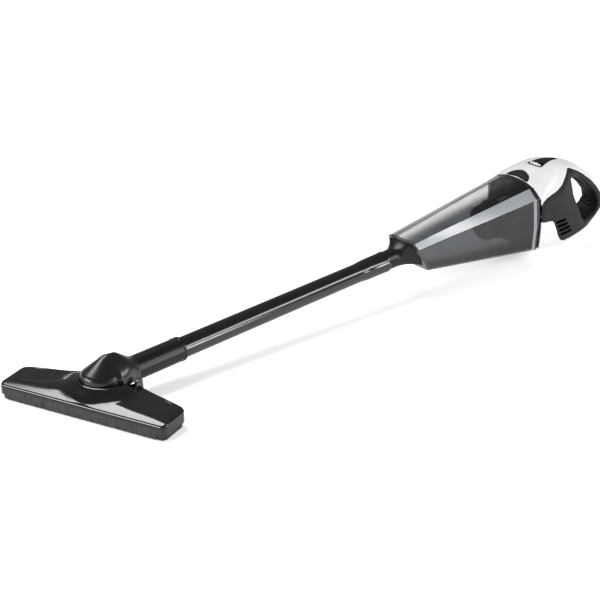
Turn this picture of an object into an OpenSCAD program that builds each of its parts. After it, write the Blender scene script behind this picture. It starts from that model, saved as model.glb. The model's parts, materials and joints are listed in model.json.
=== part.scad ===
// Cordless hand vacuum with extension tube and floor head, laid on the floor.
// +X runs from the floor head towards the handle, +Z is up, origin on the floor under the neck.

/* [Pose] */
// Upward slope of the tube and hand unit
tilt = 3.02; // [2.9:0.02:3.1]
// Height of the tube axis above the origin
axis_z = 32.8; // [32.4:0.1:33.2]
// Turn of the floor head against the tube
head_yaw = 21.27; // [0:0.5:25]

/* [Floor head] */
// Overall width of the floor head
head_w = 252.6; // [240:0.2:260]

// Offset of the middle of the floor head from the swivel axis
head_shift = 1.8; // [0:0.1:3]
// Front edge ahead of the swivel axis
head_front = 46.5; // [44:0.5:50]
// Height of the seam between base and cover
seam_z = 17.7; // [16:0.1:19]
// Cover wall thickness
cover_t = 2.2; // [1.8:0.1:2.6]
// Suction slot depth front to back
slot_d = 14; // [12:0.5:15]

/* [Neck] */
// Outer radius of the ball hood
ball_r = 31.5; // [31:0.1:32]
// Height of the neck pivot
pivot_z = 40; // [39:0.5:41]
// Pivot pin radius
pin_r = 2.5; // [2:0.1:3]
// Neck socket outer radius
neck_r = 16.9; // [16.5:0.1:17.2]
// End of the neck socket
neck_end = 127.5; // [120:0.5:135]

/* [Tube] */
// Outer radius at the lower end
tube_r = 14.6; // [14.4:0.1:14.8]
// Outer radius at the upper end
tube_r2 = 14.0; // [13.8:0.1:14.2]
// Bore radius
bore_r = 12.6; // [12:0.1:12.8]
// End of the upper socket
tube_end = 497.5; // [470:0.5:520]
// Radius of the upper socket
sock_r = 15.2; // [15:0.1:15.6]

/* [Hand unit] */
// Wall of the clear dust bowl
bowl_t = 2.2; // [1.8:0.1:2.6]
// Wall of the white housing
shell_t = 2.3; // [2:0.1:2.6]
// Half width of the white spine along the handle
spine_w = 16.5; // [14:0.5:17]
// Filter cup radius at the seat
filter_r = 34; // [30:0.5:35]
// Fan radius
fan_r = 28; // [24:0.5:29]
// Motor can radius
motor_r = 17.5; // [15:0.5:18]
// Battery cell radius
cell_r = 8.2; // [7.8:0.1:8.3]
// Release button radius
button_r = 17.5; // [16:0.5:18]

/* [Hidden] */
$fn = 48;
eps = 0.01;
big = 400;
joint_u = 770;
half_head = head_w / 2;
brush_half = 113.6;
well_r = 27.2;
well_t = 2;
turntable_r = 24.8;
hole_r = 32.3;
seat_z = 3;
swing = 28;
notch_z = 13.5;
ear_y0 = 14.2;
ear_y1 = 17.2;
barrel_r = 13;
fit = 0.05;
spigot_r = 13.6;
plug_gap = 0.35;
motor_v = -8;
cell_v = -65.3;
mouth_tilt = 29;
mouth_u = 541;
tail_u = 957;
socket_v = -44;
jack_r = 2.75;
jack_len = 9;
switch_front = 813;
slider_travel = 4.5;

// Places children in the frame of the tube axis.
module vac() translate([0, 0, axis_z]) rotate([0, -tilt, 0]) children();
// Places children in the frame of the floor head: +X back, +Y to its right end.
module head() rotate([0, 0, head_yaw]) children();
// Tube along the vacuum axis from u0 to u1.
module rod(u0, u1, ra, rb) translate([u0, 0, 0]) rotate([0, 90, 0]) cylinder(h = u1 - u0, r1 = ra, r2 = rb);
module pipe(u0, u1, ro, ri) difference() { rod(u0, u1, ro, ro); rod(u0 - 1, u1 + 1, ri, ri); }
// Side outline in the u-v plane pushed through from w0 to w1 (w towards the left side).
module side(pts, w0, w1) translate([0, -w0, 0]) rotate([90, 0, 0]) linear_extrude(w1 - w0) polygon(pts);
function floor_v(u) = -(axis_z + u * sin(tilt)) / cos(tilt);
function lerp(a, b, t) = a + (b - a) * t;
function sgn(x) = x > 0 ? 1 : (x < 0 ? -1 : 0);
function grow(p, c, k) = [for (q = p) c + (q - c) * k];

// ---- Floor head ----
function head_plan(e) = let (near = half_head - head_shift - e, far = half_head + head_shift - e) [
    [-head_front + e, 6 - near], [-head_front + 1.6 + e, 1.8 - near],
    [-head_front + 6 + e, -near], [-2, -near], [4 - e, 2 - near],
    [8 - e, 8 - near], [23 - e, -50], [32.5 - e, -30], [32.5 - e, 30], [23 - e, 50],
    [8 - e, far - 8], [4 - e, far - 2], [-2, far],
    [-head_front + 6 + e, far], [-head_front + 1.6 + e, far - 1.8],
    [-head_front + e, far - 6]];
function cover_side(e) = [
    [-60, seam_z - eps], [-head_front + e, seam_z - eps], [-head_front + e, seam_z + 1.6 - e * 0.3],
    [-38, 23.6 - e], [-30, 26.2 - e], [-8, 29 - e], [16, 29.4 - e], [30, 27.5 - e], [60, 22 - e], [60, seam_z - eps]];
function cover_front(e) = let (near = half_head - head_shift, far = half_head + head_shift) [
    [-140, seam_z - 1], [140, seam_z - 1], [far - e, 21.5 - e], [far - 5, 23.6 - e],
    [62, 26.4 - e], [38, 28.6 - e], [0, 29.4 - e], [-38, 28.6 - e], [-62, 26.4 - e],
    [5 - near, 23.6 - e], [e - near, 21.5 - e]];
module cover_solid(e) intersection() {
    translate([0, 0, seam_z]) linear_extrude(30) polygon(head_plan(e));
    translate([0, big / 2, 0]) rotate([90, 0, 0]) linear_extrude(big) polygon(cover_side(e));
    translate([-big / 2, 0, 0]) rotate([90, 0, 90]) linear_extrude(big) polygon(cover_front(e));
}
// Room the neck sweeps as it swings from side to side.
module neck_notch(z0, z1) translate([0, 0, z0]) linear_extrude(z1 - z0) {
    a = swing;
    polygon([[0, 19.5], [18.5 * -sin(a) + 62 * cos(a), 18.5 * cos(a) + 62 * sin(a)], [80, 0],
        [18.5 * -sin(a) + 62 * cos(a), -18.5 * cos(a) - 62 * sin(a)], [0, -19.5]]);
}
head_screw_at = [[2, 70], [2, -70]];
lug_at = [41.5, -44.5];
module head_cover() color([0.03, 0.03, 0.035]) head() {
    difference() {
        cover_solid(0);
        translate([0, 0, -eps]) cover_solid(cover_t);
        translate([0, 0, seam_z - 1]) cylinder(h = 20, r = hole_r);
        neck_notch(seam_z - 1, 40);
    }
    // Screw posts reaching down onto the base.
    for (p = head_screw_at) translate([p.x, p.y, 8.2]) difference() {
        cylinder(h = 15.5, r = 3.4);
        translate([0, 0, -1]) cylinder(h = 12, r = 1.3);
    }
    // Small lugs that flank the neck at the back edge.
    for (l = lug_at) translate([20, l, 19]) rotate([90, 0, 0]) linear_extrude(3)
        polygon([[-4, 5], [5, -1.3], [12.5, -1.3], [11, 8], [7, 12], [-2, 9.2]]);
}
module base_outer(z0, z1, e) translate([0, 0, z0]) linear_extrude(z1 - z0) polygon(head_plan(e));
slot_front = -39.5;
strip_x = -22;
rear_brush_x = -12;
module base_plate() color([0.09, 0.09, 0.095]) head() difference() {
    union() {
        base_outer(0, 7, 2.4);
        base_outer(6.5, seam_z - 0.15, 0.2);
    }
    // Inside of the base, leaving the well, the stud and the screw sockets.
    difference() {
        base_outer(2.2, seam_z + 1, 3.2);
        translate([0, 0, -1]) cylinder(h = seam_z, r = well_r);
        for (p = head_screw_at) translate([p.x, p.y, -1]) cylinder(h = 9, r = 3.4);
    }
    difference() {
        translate([0, 0, 2.4]) cylinder(h = 30, r = well_r - well_t);
        translate([0, 0, -1]) cylinder(h = 7.6, r = 6);
    }
    // Suction slot.
    translate([slot_front, -104, -1]) cube([slot_d, 208, 5]);
    // Air opening from the suction chamber into the well.
    translate([-well_r - 2, -17, 3.4]) cube([18, 34, 30]);
    // Neck notch in the back wall.
    intersection() {
        neck_notch(notch_z, 40);
        translate([0, -60, notch_z]) cube([60, 120, 30]);
    }
    // Brush channels and felt seat.
    translate([-head_front - 1, -brush_half - 0.2 + head_shift, -1]) cube([5.2, 2 * brush_half + 0.4, seam_z - 1.6]);
    translate([strip_x, -96, -1]) cube([5, 192, 1.9]);
    translate([rear_brush_x, -96, -1]) cube([4, 192, 2]);
    for (p = head_screw_at) translate([p.x, p.y, -1]) {
        cylinder(h = 20, r = 1.7);
        cylinder(h = 4.6, r = 3);
    }
    translate([0, 0, 3]) cylinder(h = 10, r = 1.25);
}
module front_brush() color([0.12, 0.12, 0.125]) head()
    translate([-head_front, head_shift - brush_half, 0.2]) cube([3.9, 2 * brush_half, seam_z - 3.4]);
module rear_brush() color([0.12, 0.12, 0.125]) head()
    translate([rear_brush_x + 0.2, -95.8, 0]) cube([3.6, 191.6, 0.95]);
module lint_strip() color([0.35, 0.05, 0.06]) head() translate([strip_x + 0.2, -95.8, 0]) cube([4.6, 191.6, 0.85]);
module head_screws() color("silver") head() for (p = head_screw_at) translate([p.x, p.y, 1.2]) {
    cylinder(h = 13, r = 1.3);
    cylinder(h = 2.2, r = 2.8);
}

// ---- Turntable and neck ----
module turntable() color([0.05, 0.05, 0.055]) difference() {
    union() {
        translate([0, 0, seat_z]) cylinder(h = 4, r = turntable_r);
        for (s = [1, -1]) translate([0, s * (ear_y0 + ear_y1) / 2, 0]) rotate([90, 0, 0])
            linear_extrude(ear_y1 - ear_y0, center = true)
            polygon([[-9, 6.5], [9, 6.5], [4.6, 14], [4.6, pivot_z], [-4.6, pivot_z], [-4.6, 14]]);
        for (s = [1, -1]) translate([0, s * (ear_y0 + ear_y1) / 2, pivot_z]) rotate([90, 0, 0])
            cylinder(h = ear_y1 - ear_y0, r = 6, center = true);
    }
    translate([0, 0, 1]) cylinder(h = 10, r = 6 + fit);
    translate([0, 0, pivot_z]) rotate([90, 0, 0]) cylinder(h = 60, r = pin_r, center = true);
}
module turntable_washer() color("silver") translate([0, 0, 7.05]) difference() {
    cylinder(h = 0.8, r = 9);
    translate([0, 0, -1]) cylinder(h = 3, r = 1.5);
}
module turntable_screw() color("silver") translate([0, 0, 3]) {
    cylinder(h = 5, r = 1.25);
    translate([0, 0, 4.9]) cylinder(h = 1.8, r = 2.8);
}
module pivot_pin() color("silver") translate([0, 0, pivot_z]) rotate([90, 0, 0])
    cylinder(h = 2 * ear_y1 + 0.6, r = pin_r, center = true);
module ball(r) translate([0, 0, pivot_z]) sphere(r = r, $fn = 96);
module neck_body(g) {
    rod(0, 40, barrel_r + g, barrel_r + g);
    rod(38, 44, barrel_r + g, neck_r + g);
    rod(44 - eps, neck_end - 3, neck_r + g, neck_r - 0.3 + g);
}
module neck_elbow() color([0.035, 0.035, 0.04]) difference() {
    union() {
        translate([0, 0, pivot_z]) rotate([90, 0, 0]) cylinder(h = 2 * ear_y0 - 0.6, r = barrel_r, center = true);
        vac() neck_body(0);
        vac() rod(neck_end - 3 - eps, neck_end, neck_r + 0.3, neck_r + 0.1);
    }
    // Air way.
    translate([0, 0, pivot_z]) rotate([90, 0, 0]) cylinder(h = 22, r = barrel_r - 2, center = true);
    vac() rod(-1, 60, barrel_r - 2, barrel_r - 2);
    vac() rod(50, neck_end - 32, bore_r - 0.4, bore_r - 0.4);
    vac() rod(neck_end - 32 - eps, neck_end + 1, tube_r + fit, tube_r + fit);
    translate([-16, -11, pivot_z - 16]) cube([15, 22, 13]);
    translate([0, 0, pivot_z]) rotate([90, 0, 0]) cylinder(h = 60, r = pin_r + fit, center = true);
}
module ball_hood() color([0.03, 0.03, 0.035]) difference() {
    union() {
        difference() {
            ball(ball_r);
            ball(ball_r - 2);
        }
        // Saddle that carries the hood on the neck.
        vac() difference() {
            rod(22, 52, 28.5, neck_r + 1.6);
            rod(21.9, 50, 26.5, neck_r + 0.2);
        }
    }
    // Open underside.
    translate([-60, -60, -60]) cube([200, 120, 60 + 28.6 + 1.9]);
    vac() neck_body(0.02);
    ball(ball_r - 2.01);
}

// ---- Tube and adapter ----
tube_u0 = neck_end - 31.5;
module extension_tube() color([0.02, 0.02, 0.022]) vac() difference() {
    union() {
        rod(tube_u0, neck_end + 1, tube_r, tube_r);
        rod(neck_end + 1 - eps, tube_end - 56, tube_r, tube_r2);
        rod(tube_end - 56 - eps, tube_end - 40, tube_r2, sock_r);
        rod(tube_end - 40 - eps, tube_end, sock_r, sock_r);
    }
    rod(tube_u0 - 1, tube_end - 34, bore_r, bore_r);
    rod(tube_end - 34 - eps, tube_end + 1, spigot_r + fit, spigot_r + fit);
}
// Plane of the slanted mouth of the bowl.
module mouth_cut(du, back) translate([mouth_u + du, 0, 0]) rotate([0, -mouth_tilt, 0])
    translate([back ? 0 : -big, -big / 2, -big / 2]) cube([big, big, big]);
function bowl_ring(t, e) = [
    [0, lerp(25.5, 48.5, t) - e], [lerp(23.8, 34, t) - e * 0.8, lerp(23.5, 42.5, t) - e],
    [lerp(27.4, 51, t) - e, lerp(11, 27, t) - e * 0.6], [lerp(31, 52, t) - e, lerp(-4, -17, t)],
    [lerp(33.4, 47.5, t) - e, lerp(-13.9, -55, t) + e * 0.5], [lerp(30.4, 44, t) - e, lerp(-18.6, -60, t) + e],
    [0, lerp(-19.2, -61, t) + e]];
function mirror_ring(h) = concat(h, [for (i = [len(h) - 2:-1:1]) [-h[i].x, h[i].y]]);
module ring_slab(u, h) translate([u, 0, 0]) rotate([90, 0, 90]) linear_extrude(eps) polygon(mirror_ring(h));
catch_u = 760;
catch_v = 37.6;
hook_gap = 0.4;
bowl_u0 = 526;
bowl_len = joint_u - bowl_u0;
module bowl_solid(e, u0, u1) hull() {
    ring_slab(u0, bowl_ring((u0 - bowl_u0) / bowl_len, e));
    ring_slab(u1 - eps, bowl_ring((u1 - bowl_u0) / bowl_len, e));
}
// Outline of the slanted mouth seen along the axis.
mouth_t = [0.004, 0.008, 0.036, 0.071, 0.103, 0.116, 0.117];
function mouth_ring(e) = [for (i = [0:6]) bowl_ring(mouth_t[i], e)[i]];
module tube_adapter() color([0.04, 0.04, 0.045]) vac() difference() {
    union() {
        rod(tube_end - 33.5, tube_end + 1, spigot_r, spigot_r);
        rod(tube_end + 0.4, 520, 14.5, 14.5);
        // Flare that closes the mouth.
        hull() {
            rod(514, 515, 14.5, 14.5);
            intersection() {
                bowl_solid(0.8, 512, 570);
                translate([mouth_u - 0.4, 0, 0]) rotate([0, -mouth_tilt, 0]) translate([-1, -60, -60]) cube([1, 120, 120]);
            }
        }
        // Plug inside the mouth.
        intersection() {
            rotate([90, 0, 90]) translate([0, 0, 512]) linear_extrude(60)
                polygon(mirror_ring(mouth_ring(bowl_t + plug_gap)));
            translate([mouth_u, 0, 0]) rotate([0, -mouth_tilt, 0]) translate([-1, -60, -60]) cube([12, 120, 120]);
        }
    }
    rod(tube_end - 40, 600, bore_r - 0.6, bore_r - 0.6);
}

// ---- Dust bowl and filter ----
module dust_bowl() color([0.35, 0.36, 0.35, 0.5]) vac() difference() {
    union() {
        difference() {
            bowl_solid(0, 512, joint_u);
            bowl_solid(bowl_t, 500, joint_u + 2);
        }
        // Catch for the release hook.
        translate([catch_u, -7, catch_v]) cube([4, 14, 8.4]);
    }
    mouth_cut(0, false);
}
module plate_ring(u0, u1, e, r) difference() {
    bowl_solid(e, u0, u1);
    rod(u0 - 1, u1 + 1, r, r);
}
filter_v = -6;
module on_filter() translate([0, 0, filter_v]) children();
module bowl_seal() color([0.1, 0.1, 0.1]) vac() difference() {
    bowl_solid(bowl_t + 0.4, 767.6, 769.7);
    bowl_solid(bowl_t + 4.15, 767, 771);
}
module filter_cup() color([0.05, 0.05, 0.055]) vac() on_filter() difference() {
    union() {
        rod(700, 722, filter_r - 7, filter_r - 6);
        rod(722 - eps, 759.98, filter_r - 3, filter_r - 2);
    }
    rod(702, 763, filter_r - 9, filter_r - 6);
    // Windows of the cage.
    for (a = [0:45:315]) rotate([a, 0, 0]) translate([727, -8, filter_r - 12]) cube([28, 16, 20]);
}
module filter_cloth() color([0.85, 0.85, 0.82]) vac() on_filter() difference() {
    rod(704, 759.9, filter_r - 10, filter_r - 7);
    rod(706, 760.5, filter_r - 11.6, filter_r - 8.6);
}
module filter_seat() color([0.07, 0.07, 0.075]) vac() difference() {
    union() {
        on_filter() pipe(760, 764.6, filter_r - 1, filter_r - 9);
        difference() {
            bowl_solid(bowl_t + 5.2, 764, 767);
            on_filter() rod(755, 775, filter_r - 9, filter_r - 9);
        }
    }
    // Room for the release hook.
    translate([755, -9, 27.5]) cube([18, 18, 24]);
}

// ---- Hand unit shell ----
// Stations: u, then crest, top edge, shoulder, flank, bottom corner and keel.
stations = [
    [770, 48.5, 34, 42.5, 51, 27, 52, -17, 47.5, -55, -61],
    [785, 53, 33, 47.5, 50.6, 29, 51.6, -18, 47, -60, -66],
    [805, 57, 31, 51.5, 48.6, 30, 50.2, -20, 45.5, -65, -71.5],
    [830, 58.2, 27, 54, 42.5, 31, 47.6, -25, 43, -70, -76],
    [850, 55, 22, 51, 33, 33, 44.2, -28, 39.5, -73.4, floor_v(850)],
    [870, 48.5, 16, 43.5, 24, 31.5, 40.4, -34, 36, -75.4, floor_v(870)],
    [895, 36, 14, 30, 20.5, 15, 36, -42, 31.5, -76, floor_v(895) + 1],
    [925, 13.5, 13.5, 8, 19.5, -7, 28.5, -47, 25.5, -72, -76],
    [945, -5, 13, -10, 18, -25, 23, -48, 20, -62, -68],
    [957, -23, 11, -28, 15, -36, 17, -48, 15, -55, -58]];
function st_ring(s, e) = let (cv = s[10] / 2 + s[1] / 2) mirror_ring([
    [0, s[1] - e], [s[2] - e * 0.7, s[3] - e * 0.9], [s[4] - e, s[5] - e * 0.4], [s[6] - e, s[7]],
    [s[8] - e, s[9] + e * 0.7], [0, s[10] + e]]);
module loft(st, e, d0, d1) {
    rings = [for (s = st) st_ring(s, e)];
    n = len(rings[0]);
    m = len(st);
    us = [for (i = [0:m - 1]) st[i][0] + (i == 0 ? d0 : (i == m - 1 ? d1 : 0))];
    pts = [for (i = [0:m - 1]) for (p = rings[i]) [us[i], p.x, p.y]];
    flanks = [for (i = [0:m - 2]) for (j = [0:n - 1]) let (k = (j + 1) % n)
        each [[i * n + j, i * n + k, (i + 1) * n + k], [i * n + j, (i + 1) * n + k, (i + 1) * n + j]]];
    polyhedron(pts, concat([[for (j = [n - 1:-1:0]) j]], flanks, [[for (j = [0:n - 1]) (m - 1) * n + j]]));
}
hole_pts = [[866, 22], [890, 13], [908, -2], [922, -16], [933, -30], [937, -42], [934, -51], [925, -54],
    [893, -52], [884, -42], [873, -20], [865, 2]];
hole_c = [901, -18];
liner_pts = grow(hole_pts, hole_c, 1.1);
grip_pts = [[779, 13], [783, 16.5], [800, 18], [820, 17], [834, 18], [846, 25], [856, 34], [862, 38], [875, 30],
    [894, 16], [921, -6], [942, -25], [958, -41], [952, -50], [930, -58], [904, -62], [880, -66], [850, -68.5],
    [838, -67], [831, -62], [820, -38], [813, -26], [806, -22.5], [783, -21.5], [779, -18]];
module half(s) translate([0, s > 0 ? -big : 0, 0]) translate([500, 0, -200]) cube([600, big, big]);
module housing_half(s) intersection() {
    difference() {
        loft(stations, 0, 0, 0);
        loft(stations, shell_t, -2, -shell_t);
        side(liner_pts, -60, 60);
        if (s > 0) side(grip_pts, spine_w, 60);
        if (s < 0) side(grip_pts, -60, -spine_w);
        // Openings for the button and the power switch.
        translate([joint_u - 1, 0, 30]) intersection() {
            cylinder(h = 40, r = button_r + 0.35);
            translate([1.6, -30, -1]) cube([40, 60, 60]);
        }
        translate([0, 0, 44]) linear_extrude(30) polygon(switch_plan(0.3, 803.7, 857.5));
        translate([0, 0, socket_v]) rod(930, 970, 4.6, 4.6);
    }
    half(s);
}
// Plan of the switch recess, wide in front and narrow behind.
function switch_hw(u) = u < 818 ? 13 - pow((818 - u) / 14, 2) * 4.5 : max(3.2, 13 - (u - 818) * 0.3);
function switch_plan(g, ua, ub) = let (n = 12) concat(
    [for (i = [0:n]) let (u = lerp(ua, ub, i / n)) [u, switch_hw(u) + g]],
    [for (i = [n:-1:0]) let (u = lerp(ua, ub, i / n)) [u, -switch_hw(u) - g]]);
module housing_left() color([0.93, 0.93, 0.95]) vac() housing_half(1);
module housing_right() color([0.93, 0.93, 0.95]) vac() housing_half(-1);
vents = [0, 1, 2, 3];
module vent_cut(i) side([[822 + i * 3.6, -31.5 - i * 7], [842 + i * 4.8, -28.5 - i * 7.2],
    [843 + i * 4.8, -31.5 - i * 7.2], [823 + i * 3.6, -35 - i * 7]], 20, 60);
module grip_half(s) intersection() {
    union() {
        difference() {
            intersection() {
                loft(stations, 0.02, 0, 0);
                side(grow(grip_pts, [870, -15], 0.998), s > 0 ? spine_w + 0.1 : -60, s > 0 ? 60 : -spine_w - 0.1);
            }
            loft(stations, shell_t, -2, -shell_t);
            if (s > 0) for (i = vents) vent_cut(i);
            if (s < 0) mirror([0, 1, 0]) for (i = vents) vent_cut(i);
        }
        difference() {
            intersection() {
                loft(stations, 0.02, 0, 0);
                side(grow(hole_pts, hole_c, 1.098), -60, 60);
            }
        }
    }
    difference() {
        half(s);
        side(hole_pts, -70, 70);
    }
}
module grip_left() color([0.13, 0.13, 0.14]) vac() grip_half(1);
module grip_right() color([0.13, 0.13, 0.14]) vac() grip_half(-1);
screw_at = [[788, -54], [838, -60], [792, 36]];
module housing_screws() color("silver") vac() for (p = screw_at) translate([p.x, 0, p.y]) rotate([90, 0, 0]) {
    cylinder(h = 24, r = 1.4, center = true);
    translate([0, 0, -13]) cylinder(h = 2.2, r = 2.8);
}
module bulkhead() color([0.1, 0.1, 0.105]) vac() difference() {
    union() {
        bowl_solid(shell_t + 2.2, 771.8, 775);
        bowl_solid(bowl_t + 4.2, 767.3, 772.3);
        translate([774, -8, 23.9]) cube([9, 16, 3.6]);
    }
    on_motor() rod(760, 780, 22, 22);
    translate([760, -9.5, 27.5]) cube([20, 19, 30]);
    translate([766, -button_r - 1, 39.3]) cube([20, 2 * button_r + 2, 20]);
}

// ---- Controls ----
module release_button() color([0.08, 0.08, 0.085]) vac() intersection() {
    difference() {
        translate([joint_u - 1, 0, 0]) cylinder(h = 60, r = button_r);
        translate([joint_u - 40, -30, -1]) cube([42.2, 60, 70]);
    }
    translate([0, 0, 0.6]) intersection() {
        loft(stations, 0, -2, 0);
        translate([740, -60, 43.5]) cube([100, 120, 40]);
    }
}
module release_hook() color([0.08, 0.08, 0.085]) vac() {
    side([[catch_u - 5, 32.5], [781, 32.5], [781, 44.1], [777, 44.1], [777, 35.2], [catch_u - 2, 35.2],
        [catch_u - 2, catch_v - hook_gap], [catch_u - 5, 35.6]], -5, 5);
}
module release_spring() color("silver") vac() translate([779, 0, 27.5]) difference() {
    cylinder(h = 5, r = 3);
    translate([0, 0, -1]) cylinder(h = 8, r = 2.2);
}
module switch_body() color([0.15, 0.15, 0.15]) vac() translate([815, -8, 34]) cube([22, 16, 10]);
module switch_slider() color([0.06, 0.06, 0.065]) vac() {
    intersection() {
        translate([0, 0, 0.6]) loft(stations, 0, 0, 0);
        translate([0, 0, 48.5]) linear_extrude(20)
            polygon(switch_plan(-0.4, switch_front + slider_travel + 0.4, 857));
    }
    translate([828, -2, 44.5]) cube([4, 4, 8]);
}
module switch_window() color([0.85, 0.88, 0.9, 0.6]) vac() intersection() {
    translate([0, 0, 0.3]) loft(stations, 0, 0, 0);
    translate([0, 0, 50.5]) linear_extrude(20) polygon(switch_plan(0, 804, switch_front));
}

// ---- Motor, battery, charging ----
module on_motor() translate([0, 0, motor_v]) children();
module motor_can() color([0.6, 0.6, 0.62]) vac() on_motor() difference() {
    union() {
        rod(797, 846, motor_r, motor_r);
        rod(845.9, 849, 6, 6);
    }
    rod(794, 843, motor_r - 1.6, motor_r - 1.6);
}
module motor_mount() color([0.08, 0.08, 0.08]) vac() on_motor() pipe(800, 808, motor_r + 4, motor_r);
module fan_shroud() color([0.12, 0.12, 0.125]) vac() on_motor() difference() {
    rod(776.5, 797, fan_r + 3, fan_r + 3);
    rod(779, 794.6, fan_r + 1, fan_r + 1);
    rod(775, 780, 12, 12);
    rod(790, 800, 10, 10);
    for (a = [20:40:340]) rotate([a, 0, 0]) translate([783, -5, fan_r - 2]) cube([8, 10, 8]);
}
module motor_shaft() color("silver") vac() on_motor() rod(781, 842, 1.6, 1.6);
module fan_impeller() color([0.2, 0.2, 0.21]) vac() on_motor() difference() {
    union() {
        rod(792, 793.5, fan_r, fan_r);
        rod(784, 793, 5, 6);
        for (a = [0:30:330]) rotate([a, 0, 0]) translate([785, -0.6, 7]) cube([7.5, 1.2, fan_r - 8]);
    }
    rod(780, 800, 1.6, 1.6);
}
module battery_cells() color([0.1, 0.35, 0.6]) vac() for (s = [-1, 0, 1])
    translate([0, s * 16.8, cell_v]) {
        rod(846, 902, cell_r, cell_r);
        rod(901.9, 903.4, 2.6, 2.6);
    }
module battery_tray() color([0.16, 0.16, 0.165]) vac() difference() {
    translate([841.5, -24, cell_v - 6]) cube([4.4, 48, 13]);
    translate([840, -20, cell_v + 1]) cube([8, 40, 12]);
}
module charge_board() color([0.05, 0.3, 0.12]) vac() translate([800, -22, -52]) cube([34, 44, 1.6]);
module charge_socket() color([0.1, 0.1, 0.1]) vac() translate([0, 0, socket_v]) difference() {
    rod(943, tail_u + 0.2, 4.6, 4.6);
    rod(tail_u + 0.2 - jack_len, tail_u + 1, jack_r, jack_r);
}

head_cover();
base_plate();
front_brush();
rear_brush();
lint_strip();
head_screws();
turntable();
turntable_washer();
turntable_screw();
pivot_pin();
neck_elbow();
ball_hood();
extension_tube();
tube_adapter();
dust_bowl();
bowl_seal();
filter_cup();
filter_cloth();
filter_seat();
bulkhead();
housing_left();
housing_right();
grip_left();
grip_right();
housing_screws();
release_button();
release_hook();
release_spring();
switch_slider();
switch_window();
switch_body();
motor_can();
motor_mount();
fan_shroud();
motor_shaft();
fan_impeller();
battery_cells();
battery_tray();
charge_board();
charge_socket();
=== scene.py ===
import bpy
import bmesh
import json
import math
import numpy as np
from mathutils import Euler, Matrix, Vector


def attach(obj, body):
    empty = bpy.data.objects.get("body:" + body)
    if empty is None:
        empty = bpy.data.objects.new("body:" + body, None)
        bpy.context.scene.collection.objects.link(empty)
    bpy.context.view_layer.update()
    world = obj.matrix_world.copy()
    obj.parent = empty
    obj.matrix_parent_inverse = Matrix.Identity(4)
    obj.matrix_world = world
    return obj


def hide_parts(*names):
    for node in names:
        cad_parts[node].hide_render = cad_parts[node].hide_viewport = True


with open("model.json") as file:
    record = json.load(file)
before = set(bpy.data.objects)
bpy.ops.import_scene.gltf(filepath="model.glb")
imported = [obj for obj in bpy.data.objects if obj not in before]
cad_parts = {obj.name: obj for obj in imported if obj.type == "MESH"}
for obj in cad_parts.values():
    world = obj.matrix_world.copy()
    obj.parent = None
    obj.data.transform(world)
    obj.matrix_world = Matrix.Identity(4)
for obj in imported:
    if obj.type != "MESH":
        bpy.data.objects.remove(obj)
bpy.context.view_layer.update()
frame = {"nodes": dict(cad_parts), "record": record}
NODES = frame["nodes"]


# ---------------------------------------------------------------- materials
M = {}  # each material by the name of its slot


class Mat:
    """A node material, kept in M under its name."""

    def __init__(self, name):
        self.m = M[name] = bpy.data.materials.new(name)
        self.m.use_nodes = True
        self.t = self.m.node_tree
        self.t.nodes.clear()
        self.out = self.node("OutputMaterial")
        self.co = self.node("TexCoord")
        self.b = None

    def node(self, kind, **values):
        """New node. Each value goes to the input of that name, or else to the setting."""
        n = self.t.nodes.new("ShaderNode" + kind)
        for k, v in values.items():
            title = k.replace("_", " ")
            if title in n.inputs:
                n.inputs[title].default_value = v
            else:
                setattr(n, k, v)
        return n

    def link(self, a, b):
        self.t.links.new(a, b)

    def surface(self, shader):
        self.link(shader.outputs[0], self.out.inputs["Surface"])

    def principled(self, **values):
        self.b = self.node("BsdfPrincipled", **values)
        self.surface(self.b)

    def noise(self, scale, detail=3.0, stretch=(1, 1, 1), rough=0.5):
        mp = self.node("Mapping", Scale=stretch)
        self.link(self.co.outputs["Object"], mp.inputs["Vector"])
        n = self.node("TexNoise", Scale=scale, Detail=detail, Roughness=rough)
        self.link(mp.outputs[0], n.inputs["Vector"])
        return n.outputs[0]

    def ramp(self, fac, first, last):
        """Colour from the first (place, colour) stop to the last."""
        r = self.node("ValToRGB")
        for e, (place, colour) in zip(r.color_ramp.elements, (first, last)):
            e.position = place
            e.color = (*colour, 1)
        self.link(fac, r.inputs[0])
        return r.outputs[0]

    def colour(self, fac, first, last):
        self.link(self.ramp(fac, first, last), self.b.inputs["Base Color"])

    def rough(self, fac, lo, hi):
        n = self.node("MapRange", To_Min=lo, To_Max=hi)
        self.link(fac, n.inputs[0])
        self.link(n.outputs[0], self.b.inputs["Roughness"])

    def bump(self, fac, strength, dist, below=None):
        n = self.node("Bump", Strength=strength, Distance=dist)
        self.link(fac, n.inputs["Height"])
        if below:
            self.link(below, n.inputs["Normal"])
        self.link(n.outputs[0], self.b.inputs["Normal"])
        return n.outputs[0]

    def mix(self, first, last):
        """Mix of two shaders. The caller sets or links its factor."""
        n = self.node("MixShader")
        self.link(first.outputs[0], n.inputs[1])
        self.link(last.outputs[0], n.inputs[2])
        return n


def plastic(name, dark, light, rough, spec, coat=0.0, grain=900.0, bump=0.05, wave=0.0):
    """Moulded plastic: slow colour drift, uneven polish, fine grain."""
    k = Mat(name)
    k.principled(Specular_IOR_Level=spec, Coat_Weight=coat, Coat_Roughness=0.06)
    k.colour(k.noise(18.0, 2.0), (0.3, dark), (0.7, light))
    k.rough(k.noise(60.0, 4.0), *rough)
    fine = k.bump(k.noise(grain, 2.0), bump, 0.0001)
    if wave:
        k.bump(k.noise(35.0, 1.0), wave, 0.0004, fine)


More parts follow.
